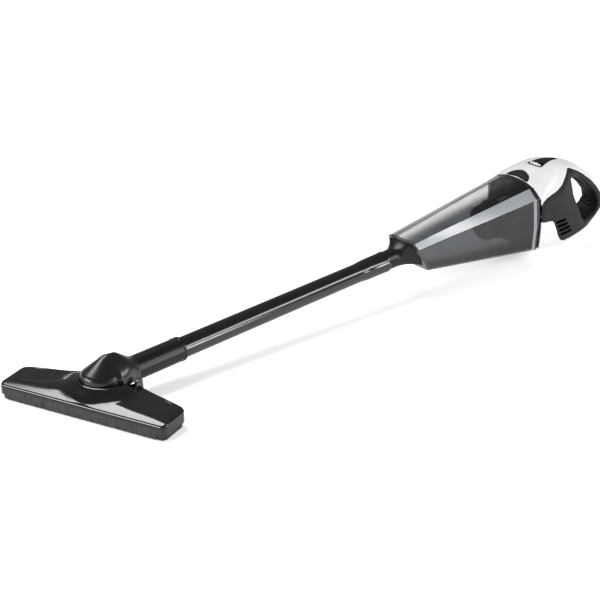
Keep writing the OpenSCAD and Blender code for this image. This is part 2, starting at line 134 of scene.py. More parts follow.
def fibre(name, dark, light, scale, stretch, bump, dist):
    """Hair or cloth: streaks drawn out along the fibres."""
    k = Mat(name)
    k.principled(Specular_IOR_Level=0.25, Sheen_Weight=0.3)
    streaks = k.noise(scale, 4.0, stretch, 0.65)
    k.colour(streaks, (0.32, dark), (0.68, light))
    k.rough(k.noise(40.0), 0.7, 0.95)
    k.bump(streaks, bump, dist)


def metal(name, col, rough):
    """Drawn metal, with scratches along x."""
    k = Mat(name)
    k.principled(Metallic=1.0)
    k.colour(k.noise(50.0), (0.3, tuple(c * 0.8 for c in col)), (0.7, col))
    k.rough(k.noise(500.0, 3.0, (0.05, 1, 1)), *rough)
    k.bump(k.noise(800.0, 2.0, (0.05, 1, 1)), 0.1, 0.0001)


def clear(name, tint, pale, gloss, haze, rough, milk, painted_shade_span=None):
    """Tinted clear plastic: each surface passes part of the light and shines at a slant.

    The tint drifts to the pale colour at random, or turns into it across a given
    stretch of the object's y axis as painted shade and light: painted shade at the
    tint end, painted light at the pale end. milk is the share of the light that the haze scatters.
    """
    k = Mat(name)
    drift = k.noise(9.0, 2.0)
    passed = k.node("BsdfTransparent")
    # Painted shade and light: the tint turns into the pale colour across a stretch of the object's y
    # axis.
    if painted_shade_span:
        sep = k.node("SeparateXYZ")
        k.link(k.co.outputs["Object"], sep.inputs[0])
        across = k.node("Math", operation="MULTIPLY_ADD")
        across.inputs[1].default_value = 0.006
        k.link(drift, across.inputs[0])
        k.link(sep.outputs["Y"], across.inputs[2])
        turn = k.node("MapRange", interpolation_type="SMOOTHSTEP", From_Min=painted_shade_span[0], From_Max=painted_shade_span[1])
        k.link(across.outputs[0], turn.inputs[0])
        colour = k.ramp(turn.outputs[0], (0.0, tint), (1.0, pale))
    else:
        colour = k.ramp(drift, (0.35, tint), (0.65, pale))
    k.link(colour, passed.inputs["Color"])
    shine = k.node("BsdfGlossy", Roughness=rough, Color=(1, 1, 1, 1))
    waves = k.node("Bump", Strength=0.06, Distance=0.0003)
    k.link(k.noise(30.0, 1.0), waves.inputs["Height"])
    k.link(waves.outputs[0], shine.inputs["Normal"])
    fog = k.node("BsdfDiffuse")
    light_haze = tuple(c * 1.25 for c in haze)
    k.link(k.ramp(k.noise(14.0, 2.0), (0.3, haze), (0.7, light_haze)), fog.inputs["Color"])
    inside = k.mix(passed, fog)
    inside.inputs[0].default_value = milk
    # Share of the shine: gloss face on, all of it at a grazing angle.
    slant = k.node("LayerWeight", Blend=0.5)
    k.link(waves.outputs[0], slant.inputs["Normal"])
    steep = k.node("Math", operation="POWER")
    steep.inputs[1].default_value = 5.0
    k.link(slant.outputs["Facing"], steep.inputs[0])
    share = k.node("MapRange", To_Min=gloss, To_Max=1.0)
    k.link(steep.outputs[0], share.inputs[0])
    skin = k.mix(inside, shine)
    k.link(share.outputs[0], skin.inputs[0])
    k.surface(skin)


POLISHED = dict(grain=900, bump=0.02, wave=0.02)
BLACK = dict(dark=(0.003, 0.003, 0.0028), light=(0.0045, 0.0045, 0.0042))
plastic("gloss_black", **BLACK, rough=(0.11, 0.17), spec=0.55, **POLISHED)
plastic("hood_black", **BLACK, rough=(0.25, 0.31), spec=0.5, **POLISHED)
plastic("adapter_black", (0.004, 0.004, 0.0045), (0.007, 0.007, 0.0075), (0.26, 0.36), 0.25)
plastic("satin_black", (0.012, 0.012, 0.013), (0.02, 0.02, 0.021), (0.35, 0.5), 0.3, grain=700, bump=0.15)
plastic("grip_black", (0.007, 0.007, 0.008), (0.01, 0.01, 0.0115), (0.5, 0.6), 0.16, grain=1400, bump=0.2)
plastic("white_gloss", (0.60, 0.60, 0.62), (0.63, 0.63, 0.65), (0.16, 0.24), 0.5, coat=0.1, **POLISHED)
# Painted shade and light: the bowl is darker tinted on its near side and pale on its far side.
clear(
    "smoke_clear",
    tint=(0.31, 0.322, 0.34), pale=(0.92, 0.92, 0.91), painted_shade_span=(-0.016, 0.012),
    gloss=0.04, haze=(0.05, 0.053, 0.057), rough=0.05, milk=0.04,
)
# Painted shade: dark clear for the dark lines along the bowl's creases, mouth and joint.
clear(
    "smoke_painted_shade",
    tint=(0.2, 0.2, 0.2), pale=(0.3, 0.3, 0.3),
    gloss=0.05, haze=(0.02, 0.02, 0.02), rough=0.08, milk=0.4,
)
# Painted highlight: milky pale clear for the bright bands on the bowl's shoulders and the strip along its
# joint.
clear(
    "smoke_painted_highlight",
    tint=(0.74, 0.75, 0.77), pale=(0.84, 0.85, 0.86),
    gloss=0.05, haze=(0.3, 0.315, 0.34), rough=0.25, milk=0.6,
)
clear(
    "clear_window",
    tint=(0.8, 0.84, 0.86), pale=(0.88, 0.9, 0.92),
    gloss=0.05, haze=(0.75, 0.77, 0.79), rough=0.06, milk=0.7,
)
fibre("bristle", (0.016, 0.016, 0.016), (0.042, 0.042, 0.041), 260.0, (1, 1, 0.25), 0.8, 0.0008)
fibre("felt", (0.12, 0.01, 0.014), (0.3, 0.03, 0.04), 900.0, (1, 1, 1), 0.8, 0.0004)
fibre("filter_cloth", (0.5, 0.49, 0.45), (0.72, 0.71, 0.66), 700.0, (0.2, 1, 1), 0.5, 0.0003)
plastic("rubber", (0.012, 0.012, 0.012), (0.02, 0.02, 0.02), (0.6, 0.8), 0.25, grain=1200, bump=0.3)
metal("steel", (0.62, 0.62, 0.64), (0.25, 0.4))
plastic("fan_grey", (0.12, 0.12, 0.125), (0.17, 0.17, 0.175), (0.35, 0.5), 0.4)
plastic("cell_wrap", (0.012, 0.02, 0.034), (0.018, 0.028, 0.045), (0.3, 0.4), 0.5, coat=0.2)
plastic("board_green", (0.01, 0.11, 0.035), (0.02, 0.17, 0.06), (0.3, 0.45), 0.5, grain=400, bump=0.3)

for sub in frame["record"]["subparts"]:
    node = NODES.get(sub["node"])
    if node is not None:
        node.data.materials.clear()
        node.data.materials.append(M[sub["material_slot"]])


# ------------------------------------------------------------------- places
# Lengths are in mm up to put(), which turns them into metres.
TILT = math.radians(3.02)  # rise of the tube's axis
AXIS_Z = 32.8  # height of that axis over the swivel
HEAD_TURN = math.radians(21.27)  # turn of the floor head about the swivel


def vac(p):
    """(u along the tube, w to the near side, v up) in mm to metres in the row frame."""
    p = np.asarray(p, float)
    u, w, v = p[..., 0], p[..., 1], p[..., 2]
    x = u * math.cos(TILT) - v * math.sin(TILT)
    z = AXIS_Z + u * math.sin(TILT) + v * math.cos(TILT)
    return np.stack([x, -w, z], -1) / 1000


def head(p):
    """(back, to the far end, up) of the floor head in mm to metres in the row frame."""
    p = np.asarray(p, float)
    a, l = p[..., 0], p[..., 1]
    x = a * math.cos(HEAD_TURN) - l * math.sin(HEAD_TURN)
    y = a * math.sin(HEAD_TURN) + l * math.cos(HEAD_TURN)
    return np.stack([x, y, p[..., 2]], -1) / 1000


def plain(p):
    """Row frame in mm to metres."""
    return np.asarray(p, float) / 1000


# -------------------------------------------------------------- field tools
# A field is a signed distance on a grid, negative inside the shape.
CORNERS = [(a, b, c) for a in (0, 1) for b in (0, 1) for c in (0, 1)]


def smax(a, b, k):
    """Larger of two fields, rounded over k: what both shapes share."""
    h = np.maximum(k - np.abs(a - b), 0) / k
    return np.maximum(a, b) + h * h * k / 4


def smin(a, b, k):
    """Smaller of two fields, rounded over k: both shapes together."""
    return -smax(-a, -b, k)


def hollow(f, wall):
    """Shell of that wall thickness under the skin."""
    return smax(f, -(f + wall), 0.3)


def step(x, lo, hi):
    """0 below lo and 1 above hi, with a smooth rise between them."""
    t = np.clip((x - lo) / (hi - lo), 0, 1)
    return t * t * (3 - 2 * t)


def poly_sd(x, y, pts):
    """Signed distance to a closed polygon, negative inside."""
    d = np.full(np.broadcast(x, y).shape, 1e9)
    s = np.ones(d.shape)
    for i in range(len(pts)):
        ax, ay = pts[i]
        bx, by = pts[i - 1]
        ex, ey = bx - ax, by - ay
        wx, wy = x - ax, y - ay
        t = np.clip((wx * ex + wy * ey) / (ex * ex + ey * ey), 0, 1)
        d = np.minimum(d, (wx - ex * t) ** 2 + (wy - ey * t) ** 2)
        c1, c2, c3 = y >= ay, y < by, ex * wy > ey * wx
        s = np.where((c1 & c2 & c3) | (~c1 & ~c2 & ~c3), -s, s)
    return s * np.sqrt(d)


def line_d(x, y, pts):
    """Distance to an open polyline."""
    d = np.full(np.broadcast(x, y).shape, 1e9)
    for (ax, ay), (bx, by) in zip(pts, pts[1:]):
        ex, ey = bx - ax, by - ay
        t = np.clip(((x - ax) * ex + (y - ay) * ey) / (ex * ex + ey * ey), 0, 1)
        d = np.minimum(d, (x - ax - ex * t) ** 2 + (y - ay - ey * t) ** 2)
    return np.sqrt(d)


def curve(x, y, q):
    """Shape-keeping cubic through y(x), at q. y may have one column per value."""
    x, y, q = np.asarray(x, float), np.asarray(y, float), np.asarray(q, float)
    if y.ndim == 1:
        return curve(x, y[:, None], q)[..., 0]
    h = np.diff(x)
    dl = np.diff(y, axis=0) / h[:, None]
    m = np.zeros_like(y)
    m[0], m[-1] = dl[0], dl[-1]
    w1 = (2 * h[1:] + h[:-1])[:, None]
    w2 = (h[1:] + 2 * h[:-1])[:, None]
    same = dl[:-1] * dl[1:] > 0
    a, b = np.where(same, dl[:-1], 1), np.where(same, dl[1:], 1)
    m[1:-1] = np.where(same, (w1 + w2) / (w1 / a + w2 / b), 0)
    q = np.clip(q, x[0], x[-1])
    i = np.clip(np.searchsorted(x, q, side="right") - 1, 0, len(x) - 2)
    t = ((q - x[i]) / h[i])[..., None]
    hh = h[i][..., None]
    start = (2 * t**3 - 3 * t**2 + 1) * y[i] + (t**3 - 2 * t**2 + t) * hh * m[i]
    return start + (3 * t**2 - 2 * t**3) * y[i + 1] + (t**3 - t**2) * hh * m[i + 1]


def grid(lo, hi, h):
    """Open grids that cover a box, and what nets() needs to place them."""
    x, y, z = [np.arange(a, b + h, h) for a, b in zip(lo, hi)]
    spread = (x[:, None, None], y[None, :, None], z[None, None, :])
    return spread, np.array([x[0], y[0], z[0]]), h


def look(f, p):
    """Trilinear value of f at p, in cells."""
    p = np.clip(p, 0, np.array(f.shape) - 1.001)
    i = p.astype(int)
    t = p - i
    out = 0
    for corner in CORNERS:
        k = 1
        for ax in range(3):
            k = k * np.where(corner[ax], t[:, ax], 1 - t[:, ax])
        out = out + k * f[tuple((i + corner).T)]
    return out


def nets(f, lo, h):
    """Quad mesh of the surface f = 0, with the inside negative."""
    s = f < 0
    n = np.array(f.shape) - 1
    count = np.zeros(n, int)
    for a, b, c in CORNERS:
        count += s[a : n[0] + a, b : n[1] + b, c : n[2] + c]
    mixed = (count > 0) & (count < 8)
    idx = np.full(n, -1)
    cells = np.argwhere(mixed)
    idx[mixed] = np.arange(len(cells))
    # One vertex per mixed cell: the mean of its edge crossings, drawn to the surface.
    pos, num = np.zeros((len(cells), 3)), np.zeros(len(cells))
    for a in CORNERS:
        for ax in range(3):
            if a[ax]:
                continue
            b = list(a)
            b[ax] = 1
            f0 = f[tuple((cells + a).T)]
            f1 = f[tuple((cells + b).T)]
            hit = (f0 < 0) != (f1 < 0)
            t = np.where(hit, f0 / np.where(hit, f0 - f1, 1), 0)
            p = np.array(a, float) + t[:, None] * (np.array(b) - np.array(a))
            pos += hit[:, None] * p
            num += hit
    p = cells + pos / num[:, None]
    slope = np.gradient(f)
    for _ in range(3):
        gr = np.stack([look(c, p) for c in slope], -1)
        q = (gr**2).sum(-1)
        p = p - np.clip(look(f, p) / np.maximum(q, 0.05), -0.35, 0.35)[:, None] * gr
    # One quad for each grid edge that crosses the surface.
    faces = []
    for ax in range(3):
        b, c = (ax + 1) % 3, (ax + 2) % 3
        s0 = np.moveaxis(s, (ax, b, c), (0, 1, 2))
        d = np.moveaxis(idx, (ax, b, c), (0, 1, 2))
        e0, e1 = s0[:-1, 1:-1, 1:-1], s0[1:, 1:-1, 1:-1]
        q = np.stack([d[:, :-1, :-1], d[:, 1:, :-1], d[:, 1:, 1:], d[:, :-1, 1:]], -1)
        faces.append(q[e0 & ~e1])
        faces.append(q[~e0 & e1][:, ::-1])
    return np.concatenate(faces), lo + h * p


# --------------------------------------------------------------- mesh tools
def put(name, verts, faces, mat, body, nodes=(), place=plain, sharp=40.0, fix=False, second=None):
    """A mesh piece in place, on its body, in its material, in the stead of its CAD nodes.

    fix merges doubled points and turns the faces outwards. second gives more
    materials and the number of the material of each face.
    """
    me = bpy.data.meshes.new(name)
    me.from_pydata(place(verts).tolist(), [], [list(map(int, f)) for f in faces])
    if second:
        me.polygons.foreach_set("material_index", np.asarray(second[1], int))
    if fix:
        bm = bmesh.new()
        bm.from_mesh(me)
        bmesh.ops.remove_doubles(bm, verts=bm.verts, dist=1e-6)
        bmesh.ops.recalc_face_normals(bm, faces=bm.faces)
        bm.to_mesh(me)
        bm.free()
    me.polygons.foreach_set("use_smooth", [True] * len(me.polygons))
    me.set_sharp_from_angle(angle=math.radians(sharp))
    me.update()
    o = bpy.data.objects.new(name, me)
    bpy.context.scene.collection.objects.link(o)
    o.data.materials.append(M[mat])
    if second:
        for extra in second[0]:
            o.data.materials.append(M[extra])
    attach(o, body)
    if nodes:
        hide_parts(*nodes)


def lattice(n, m, closed):
    """Quads over n rings of m points each. closed joins the last ring to the first."""
    i = np.arange(n if closed else n - 1)[:, None]
    j = np.arange(m)[None, :]
    k, l = (i + 1) % n, (j + 1) % m
    return np.stack([i * m + j, i * m + l, k * m + l, k * m + j], -1).reshape(-1, 4)


def lathe(profile, turns):
    """Closed (u, r) outline turned round the u axis."""
    p = np.asarray(profile, float)
    a = np.linspace(0, 2 * math.pi, turns, endpoint=False)
    u, r = np.repeat(p[:, 0][:, None], turns, 1), p[:, 1][:, None]
    v = np.stack([u, r * np.sin(a), r * np.cos(a)], -1)
    return v.reshape(-1, 3), lattice(len(p), turns, True)


def block(xs, ys, zs):
    """Box between two x, two y and two z."""
    faces = [(0, 1, 3, 2), (4, 6, 7, 5), (0, 4, 5, 1), (2, 3, 7, 6), (0, 2, 6, 4), (1, 5, 7, 3)]
    return np.array([(xs[a], ys[b], zs[c]) for a, b, c in CORNERS], float), faces


def join(*parts):
    """Several (verts, faces) as one."""
    vs, fs, n = [], [], 0
    for v, f in parts:
        vs.append(np.asarray(v, float))
        fs += [[int(i) + n for i in q] for q in f]
        n += len(v)
    return np.concatenate(vs), fs


def soften(pts, cut, seg=4):
    """Closed polygon with each corner turned into a short curve. cut has one length per corner."""
    p = np.asarray(pts, float)
    out = []
    for i in range(len(p)):
        a, b, c = p[i - 1], p[i], p[(i + 1) % len(p)]
        la, lc = np.linalg.norm(a - b), np.linalg.norm(c - b)
        e = b + (a - b) / la * min(cut[i], la * 0.45)
        g = b + (c - b) / lc * min(cut[i], lc * 0.45)
        for t in np.linspace(0, 1, seg + 1):
            out.append((1 - t) ** 2 * e + 2 * t * (1 - t) * b + t * t * g)
    return np.array(out)


def inset(pts, d):
    """Closed polygon, either way round, moved inwards by d."""
    p = np.asarray(pts, float)
    area2 = np.sum(p[:, 0] * np.roll(p[:, 1], -1) - np.roll(p[:, 0], -1) * p[:, 1])
    sg = 1 if area2 > 0 else -1
    out = []
    for i in range(len(p)):
        a, b, c = p[i - 1], p[i], p[(i + 1) % len(p)]
        n1 = np.array([-(b - a)[1], (b - a)[0]]) / np.linalg.norm(b - a) * sg
        n2 = np.array([-(c - b)[1], (c - b)[0]]) / np.linalg.norm(c - b) * sg
        k = (n1 + n2) / (1 + n1 @ n2)
        out.append(b + k * d)
    return np.array(out)


def inset_ring(p, d):
    """Ring of points drawn in by d towards its middle."""
    c = p.mean(0)
    r = np.linalg.norm(p - c, axis=1)[:, None]
    return c + (p - c) * (r - d) / r


def halves(verts, faces, mat, body, sides):
    """One closed shape split at w = 0 into (piece, CAD node, side) parts."""
    for part, node, side in sides:
        bm = bmesh.new()
        vs = [bm.verts.new(c) for c in verts]
        for f in faces:
            bm.faces.new([vs[i] for i in f])
        everything = bm.verts[:] + bm.edges[:] + bm.faces[:]
        got = bmesh.ops.bisect_plane(
            bm, geom=everything, dist=1e-5, plane_co=(0, 0, 0), plane_no=(0, -side, 0), clear_outer=True
        )
        rim = [e for e in got["geom_cut"] if isinstance(e, bmesh.types.BMEdge) and e.is_boundary]
        bmesh.ops.triangle_fill(bm, edges=rim, use_beauty=False, use_dissolve=False)
        bmesh.ops.recalc_face_normals(bm, faces=bm.faces)
        bm.verts.index_update()
        v = np.array([x.co[:] for x in bm.verts])
        f = [[x.index for x in y.verts] for y in bm.faces]
        bm.free()
        put(part, v, f, mat, body, (node,), vac, 50)


# --------------------------------------------------------------- floor head
# Seen from above, a runs to the back and l to the far end, from the swivel.
COVER_PLAN = [
    (-46.4, -118.6), (-44.6, -122.5), (-40.5, -124.3), (-2, -124.5), (4, -122.5), (8, -116.5),
    (23, -50), (32.5, -30), (32.5, 30), (23, 50),
    (8, 120.0), (4, 126.0), (-2, 128.0), (-41, 128.0), (-44.9, 126.2), (-46.5, 122.3),
]
WING_PANELS = (
    [
        (-3, 47.2), (-13, 58), (-22, 71), (-26.5, 90), (-28.6, 107),
        (-20, 117), (4, 116), (20, 60), (14, 44),
    ],
    [
        (8, -29), (-14.6, -33), (-20, -42), (-26.6, -58), (-24, -76), (-22.6, -97),
        (-14, -104), (6, -103), (18, -66), (22, -44),
    ],
)
COVER_FOOT = 17.75  # height of the seam under the cover
COVER_WALL = 2.2
BALL_HOLE = 27.8
SEAM_ROUND = 3.2


def cover_top(a, l):
    """Height of the cover: a crowned bar, a mound and a lip round the ball, a panel on each wing."""
    along = curve([-46.5, -38, -30, -8, 16, 34], [19.3, 23.9, 26.6, 29, 29.4, 28.0], a)
    across = curve(
        [-124.5, -119.5, -62, -38, 0, 38, 62, 123.1, 128.1],
        [21.8, 23.6, 26.6, 28.6, 29.4, 28.6, 26.6, 23.6, 21.8],
        l,
    )
    top = smin(along, across, 2.5)
    # The mound and the lip both fade out towards the notch at the back.
    mound_h, lip_h, panel_depth = 16.0, 3.4, 0.55
    reach = np.sqrt((a / np.where(a < 0, 42.0, 60.0)) ** 2 + ((l - 1) / 60.0) ** 2)
    mound = 20.0 + mound_h * (1 - step(reach, 0.66, 1.1)) * (1 - step(a, 2, 24))
    top = smax(top, mound, 6.0)
    top = top + lip_h * (1 - step(np.sqrt(a * a + l * l), 27, 44)) * (1 - step(a, 0, 20))
    for pts in WING_PANELS:
        top = top - panel_depth * (1 - step(poly_sd(a, l, pts), -1.4, 0.2))
    return top


def neck_notch(a, l):
    """Opening at the back of the cover, as wide as the neck's swing."""
    swing = math.radians(28)
    side_a = -18.5 * math.sin(swing) + 62 * math.cos(swing)
    side_l = 18.5 * math.cos(swing) + 62 * math.sin(swing)
    return poly_sd(a, l, [(0, 19.5), (side_a, side_l), (80, 0), (side_a, -side_l), (0, -19.5)])


def lug(at, taller):
    """Upright plate beside the neck, 4.5 mm thick, with softened edges."""
    foot = 17.9
    outline = [
        (12, foot), (12, 24 + taller * 0.6), (17.5, 29 + taller),
        (25, 31 + taller), (30.5, 27.5 + taller), (32.2, foot),
    ]
    outline = soften(outline, [0.5, 2, 3, 2, 2, 0.5])
    rows = []
    for y, d in ((0, 0.8), (0.2, 0.3), (0.8, 0), (3.7, 0), (4.3, 0.3), (4.5, 0.8)):
        c = inset(outline, d)
        rows.append(np.column_stack([c[:, 0], np.full(len(c), at + y), c[:, 1]]))
    m, n = len(outline), len(rows)
    ends = [list(range(m)), list(range(n * m - 1, (n - 1) * m - 1, -1))]
    return np.concatenate(rows), [list(q) for q in lattice(n, m, False)] + ends


def screw_post(at):
    """Blind post under the cover for a screw."""
    outer, bore, foot, roof, depth = 3.4, 1.3, 8.2, 24.3, 20.2
    profile = [(foot, bore), (foot, outer), (roof, outer), (roof, 0.01), (depth, 0.01), (depth, bore)]
    v, f = lathe(profile, 24)
    return np.stack([v[:, 1] + 2, v[:, 2] + at, v[:, 0]], -1), f


def head_cover():
    (a, l, z), lo, h = grid((-49, -127, 15), (42, 131, 43), 0.9)
    plan = poly_sd(a, l, COVER_PLAN)
    top = cover_top(a, l)
    slope_a, slope_l = np.gradient(top[:, :, 0], h)
    over = (z - top) / np.sqrt(1 + slope_a**2 + slope_l**2)[:, :, None]
    f = smax(plan, over, SEAM_ROUND)
    f = smax(f, COVER_FOOT - z, 0.6)
    inner = np.maximum(np.maximum(plan, over) + COVER_WALL, 15.0 - z)
    f = smax(f, -inner, 0.4)
    f = smax(f, BALL_HOLE - np.sqrt(a * a + l * l), 0.2)
    f = smax(f, -neck_notch(a, l), 1.2)
    faces, v = nets(f, lo, h)
    parts = [(v, faces), lug(38.5, 0.0), lug(-44.5, 7.0), screw_post(70), screw_post(-70)]
    v, faces = join(*parts)
    put("cover_shell", v, faces, "gloss_black", "floor_head", ("head_cover",), head, 35)


def bristles():
    """Two rows of uneven tufts, each a leaning block."""
    rng = np.random.default_rng(7)
    near_end, far_end, root = -111.2, 114.6, 14.5
    faces = [(0, 3, 2, 1), (4, 5, 6, 7), (0, 1, 5, 4), (1, 2, 6, 5), (2, 3, 7, 6), (3, 0, 4, 7)]
    parts = []
    for front in (-46.3, -44.9):
        l = near_end
        while l < far_end:
            width = rng.uniform(0.8, 1.25)
            lean = rng.normal(0, 0.35)
            tip = 0.35 + rng.uniform(0, 0.35)
            x0, x1 = front + rng.uniform(0, 0.25), front + 1.15
            l0, l1 = l + lean, l + width + lean
            low = [(x0 + 0.15, l0, tip), (x1, l0, tip), (x1, l1, tip), (x0 + 0.15, l1, tip)]
            high = [(x0, l, root), (x1, l, root), (x1, l + width, root), (x0, l + width, root)]
            parts.append((low + high, faces))
            l += width + rng.uniform(0.02, 0.12)
    v, f = join(*parts)
    put("brush_tufts", v, f, "bristle", "floor_head", ("front_brush",), head, 30)


# --------------------------------------------------------------------- neck
BALL_R = 27.1
BALL_Z = 40  # height of the ball's middle; its upper half is drawn out
HOOD_WALL = 2.0
SOCKET_R = 17.05  # room for the neck's tube socket


def hood():
    """Ball with a sloped roof that runs back into a cone round the socket."""
    (x, y, z), lo, h = grid((-34, -33, 29), (54, 33, 78), 0.9)
    up = np.where(z > BALL_Z, (z - BALL_Z) * 0.4, z - BALL_Z)
    ball = np.sqrt(x * x + y * y + up * up) - BALL_R
    back = np.sqrt((x - 15.2) ** 2 + y * y + (z - 42.4) ** 2) - 27.3
    # Place along the tube's axis and distance from it.
    u = x * math.cos(TILT) + (z - AXIS_Z) * math.sin(TILT)
    v = -x * math.sin(TILT) + (z - AXIS_Z) * math.cos(TILT)
    rad = np.sqrt(y * y + v * v)
    cone_r = 29.0 - (u - 20) * 0.36
    cone = smax((rad - cone_r) * 0.94, np.maximum(u - 51.5, 14 - u), 2.0)
    # Roof with a short rounded ridge, gentler to the front.
    ridge_x, ridge_half, steepness = 15.9, 7.3, 1.066
    off = np.maximum(np.abs(x - ridge_x) - ridge_half, 0) / np.where(x < ridge_x, 1.42, 1.0)
    roof = (np.sqrt(off**2 + y * y + 23.8) + steepness * z - 77.7) / 1.46
    f = smin(smax(smin(ball, back, 6.0), roof, 3.5), cone, 8.0)
    shell = hollow(f, HOOD_WALL)
    # The foot is higher in front, which clears the turntable at full pitch.
    foot = 30.7 + 3.2 * step(-x, -5, 12)
    shell = smax(shell, foot - z, 1.0)
    shell = smax(shell, np.minimum(SOCKET_R - rad, u - 30), 0.3)
    faces, p = nets(shell, lo, h)
    put("hood_shell", p, faces, "hood_black", "neck", ("ball_hood",), plain, 50)


def boss(side):
    """Low oval button on the socket's upper flank, from its foot ring to its top."""
    middle = np.array([122.8, side * 13.6, 10.9])
    out = np.array([0, side * 0.78, 0.625])
    along = np.array([1.0, 0, 0])
    round_ = np.cross(out, along)
    points = []
    for q in np.linspace(0, 1, 7):
        r = math.cos(q * math.pi / 2)
        rise = 1.3 * math.sin(q * math.pi / 2) - 0.4
        for k in np.linspace(0, 2 * math.pi, 20, endpoint=False):
            points.append(
                middle + along * 2.8 * r * math.cos(k) + round_ * 1.9 * r * math.sin(k) + out * rise
            )
    return np.array(points), lattice(7, 20, False)


def neck_collar():
    """End ring of the tube socket, a bead near its root and two bosses."""
    inner = 16.4
    ring = [(123.6, 16.6), (124.0, 16.88), (126.8, 16.92), (127.4, 16.7), (127.4, inner), (123.6, 16.45)]
    bead = [(u, 16.63 + 0.35 * math.sin((u - 60) * math.pi / 3) ** 2) for u in (60, 61.5, 63)]
    bead += [(63, inner), (60, inner)]
    v, f = join(lathe(ring, 72), lathe(bead, 72), boss(1), boss(-1))
    put("neck_collar", v, f, "adapter_black", "neck", (), vac, 35, fix=True)


# --------------------------------------------------------- tube and adapter
def wand():
    """Extension tube: slight taper, flared upper socket with a bead, stepped bore."""
    outline = [(96.2, 12.6), (96, 12.9), (96, 14.3), (96.3, 14.6)]
    outline += [(u, 14.6 - 0.6 * (u - 128) / 313) for u in np.linspace(128, 441, 14)]
    outline += [(444, 14.03), (448, 14.3), (452, 14.7), (456, 15.05), (459, 15.2)]
    outline += [(492.4, 15.3), (493.2, 15.65), (496.6, 15.7), (497.4, 15.3), (497.5, 14.2)]
    outline += [(497.1, 13.72), (463.5, 13.7), (463.3, 12.6)]
    v, f = lathe(outline, 96)
    put("wand_tube", v, f, "gloss_black", "tube", ("extension_tube",), vac, 30, fix=True)


# The bowl tapers between two (w, v) outlines, each given from the middle of
# its top round the near side to the middle of its bottom.
BOWL_U = 526  # place of the front outline on the tube's axis
BOWL_RUN = 244  # from there to the joint with the hand unit
BOWL_FRONT = [
    (0, 25.8), (13, 25.2), (23.8, 23.5), (27.4, 11),
    (31, -4), (33.4, -13.9), (30.4, -18.6), (0, -19.2),
]
BOWL_BACK = [(0, 48.5), (19, 46.9), (34, 42.5), (51, 27), (52, -17), (47.5, -55), (44, -60), (0, -61)]
BOWL_CUTS = [7, 4, 1.5, 1.2, 1.3, 2.0, 2.0, 7]  # rounding of each corner
BOWL_WALL = 2.2
SLANT = math.tan(math.radians(29))  # lean of the mouth
MOUTH = 15  # distance of the mouth from the front outline, at v = 0
FLANGE = 2.4  # how far behind the mouth its inner edge lies
SKIN_ROWS = 40


def bowl_lines(d):
    """Front and back outline, moved inwards by d."""

    def whole(half):
        return half + [(-w, v) for w, v in reversed(half[1:-1])]

    cuts = BOWL_CUTS + BOWL_CUTS[-2:0:-1]
    front = soften(inset(whole(BOWL_FRONT), d), [c * 0.8 for c in cuts])
    return front, soften(inset(whole(BOWL_BACK), d), cuts)


def bowl_at(a, b, t):
    """Points of the bowl's skin, t of the way from the front outline to the joint."""
    return a + (b - a) * t[:, None]


def mouth_t(a, b, behind=0.0):
    """Where each line of the skin meets the slanted mouth."""
    return (MOUTH + behind - a[:, 1] * SLANT) / (BOWL_RUN + (b[:, 1] - a[:, 1]) * SLANT)


def mouth_rim():
    """Outline of the adapter where it meets the bowl, narrower at its foot."""
    a, b = bowl_lines(2.6)
    p = bowl_at(a, b, mouth_t(a, b))
    return p * (1 - 0.2 * step(-p[:, 1], -12, 14))[:, None]


def adapter():
    """Tube stub that flares into the bowl's slanted mouth."""
    rim = mouth_rim()
    lip = inset_ring(rim, 1.4)
    mouth_u = 540.6 - rim[:, 1] * SLANT
    ang = np.arctan2(rim[:, 0], rim[:, 1])
    rows = []

    def ring(r):
        return np.stack([r * np.sin(ang), r * np.cos(ang)], -1)

    def add(u, p):
        rows.append(np.column_stack([np.broadcast_to(u, len(p)), p]))

    neck_u, neck_r = 508, 14.6
    # Stub inside the tube, then its shoulder.
    for u, r in ((464, 13.4), (465, 13.6), (497.9, 13.6), (497.95, 14.2), (498.2, 14.5)):
        add(u, ring(r))
    # Groove in the neck.
    for u, r in ((503, neck_r), (503.4, 14.25), (504.4, 14.25), (504.8, neck_r), (neck_u, neck_r)):
        add(u, ring(r))
    # Flare out to the rim.
    for s in np.linspace(0, 1, 22)[1:]:
        flare = s**2.1
        add(neck_u + (mouth_u - neck_u) * s, ring(neck_r) * (1 - flare) + rim * flare)
    # Sleeve inside the bowl, its end face, and the bore back to the stub.
    add(mouth_u + 0.1, lip)
    add(mouth_u + 6.0, lip * 0.985)
    add(mouth_u + 6.4, lip * 0.9)
    add(mouth_u + 6.4, ring(12.4))
    for u, r in ((520, 12.1), (464, 12.0), (463.6, 12.8)):
        add(u, ring(r))
    v, f = np.concatenate(rows), lattice(len(rows), len(rim), True)
    put("mouth_adapter", v, f, "adapter_black", "adapter", ("tube_adapter",), vac, 32, fix=True)


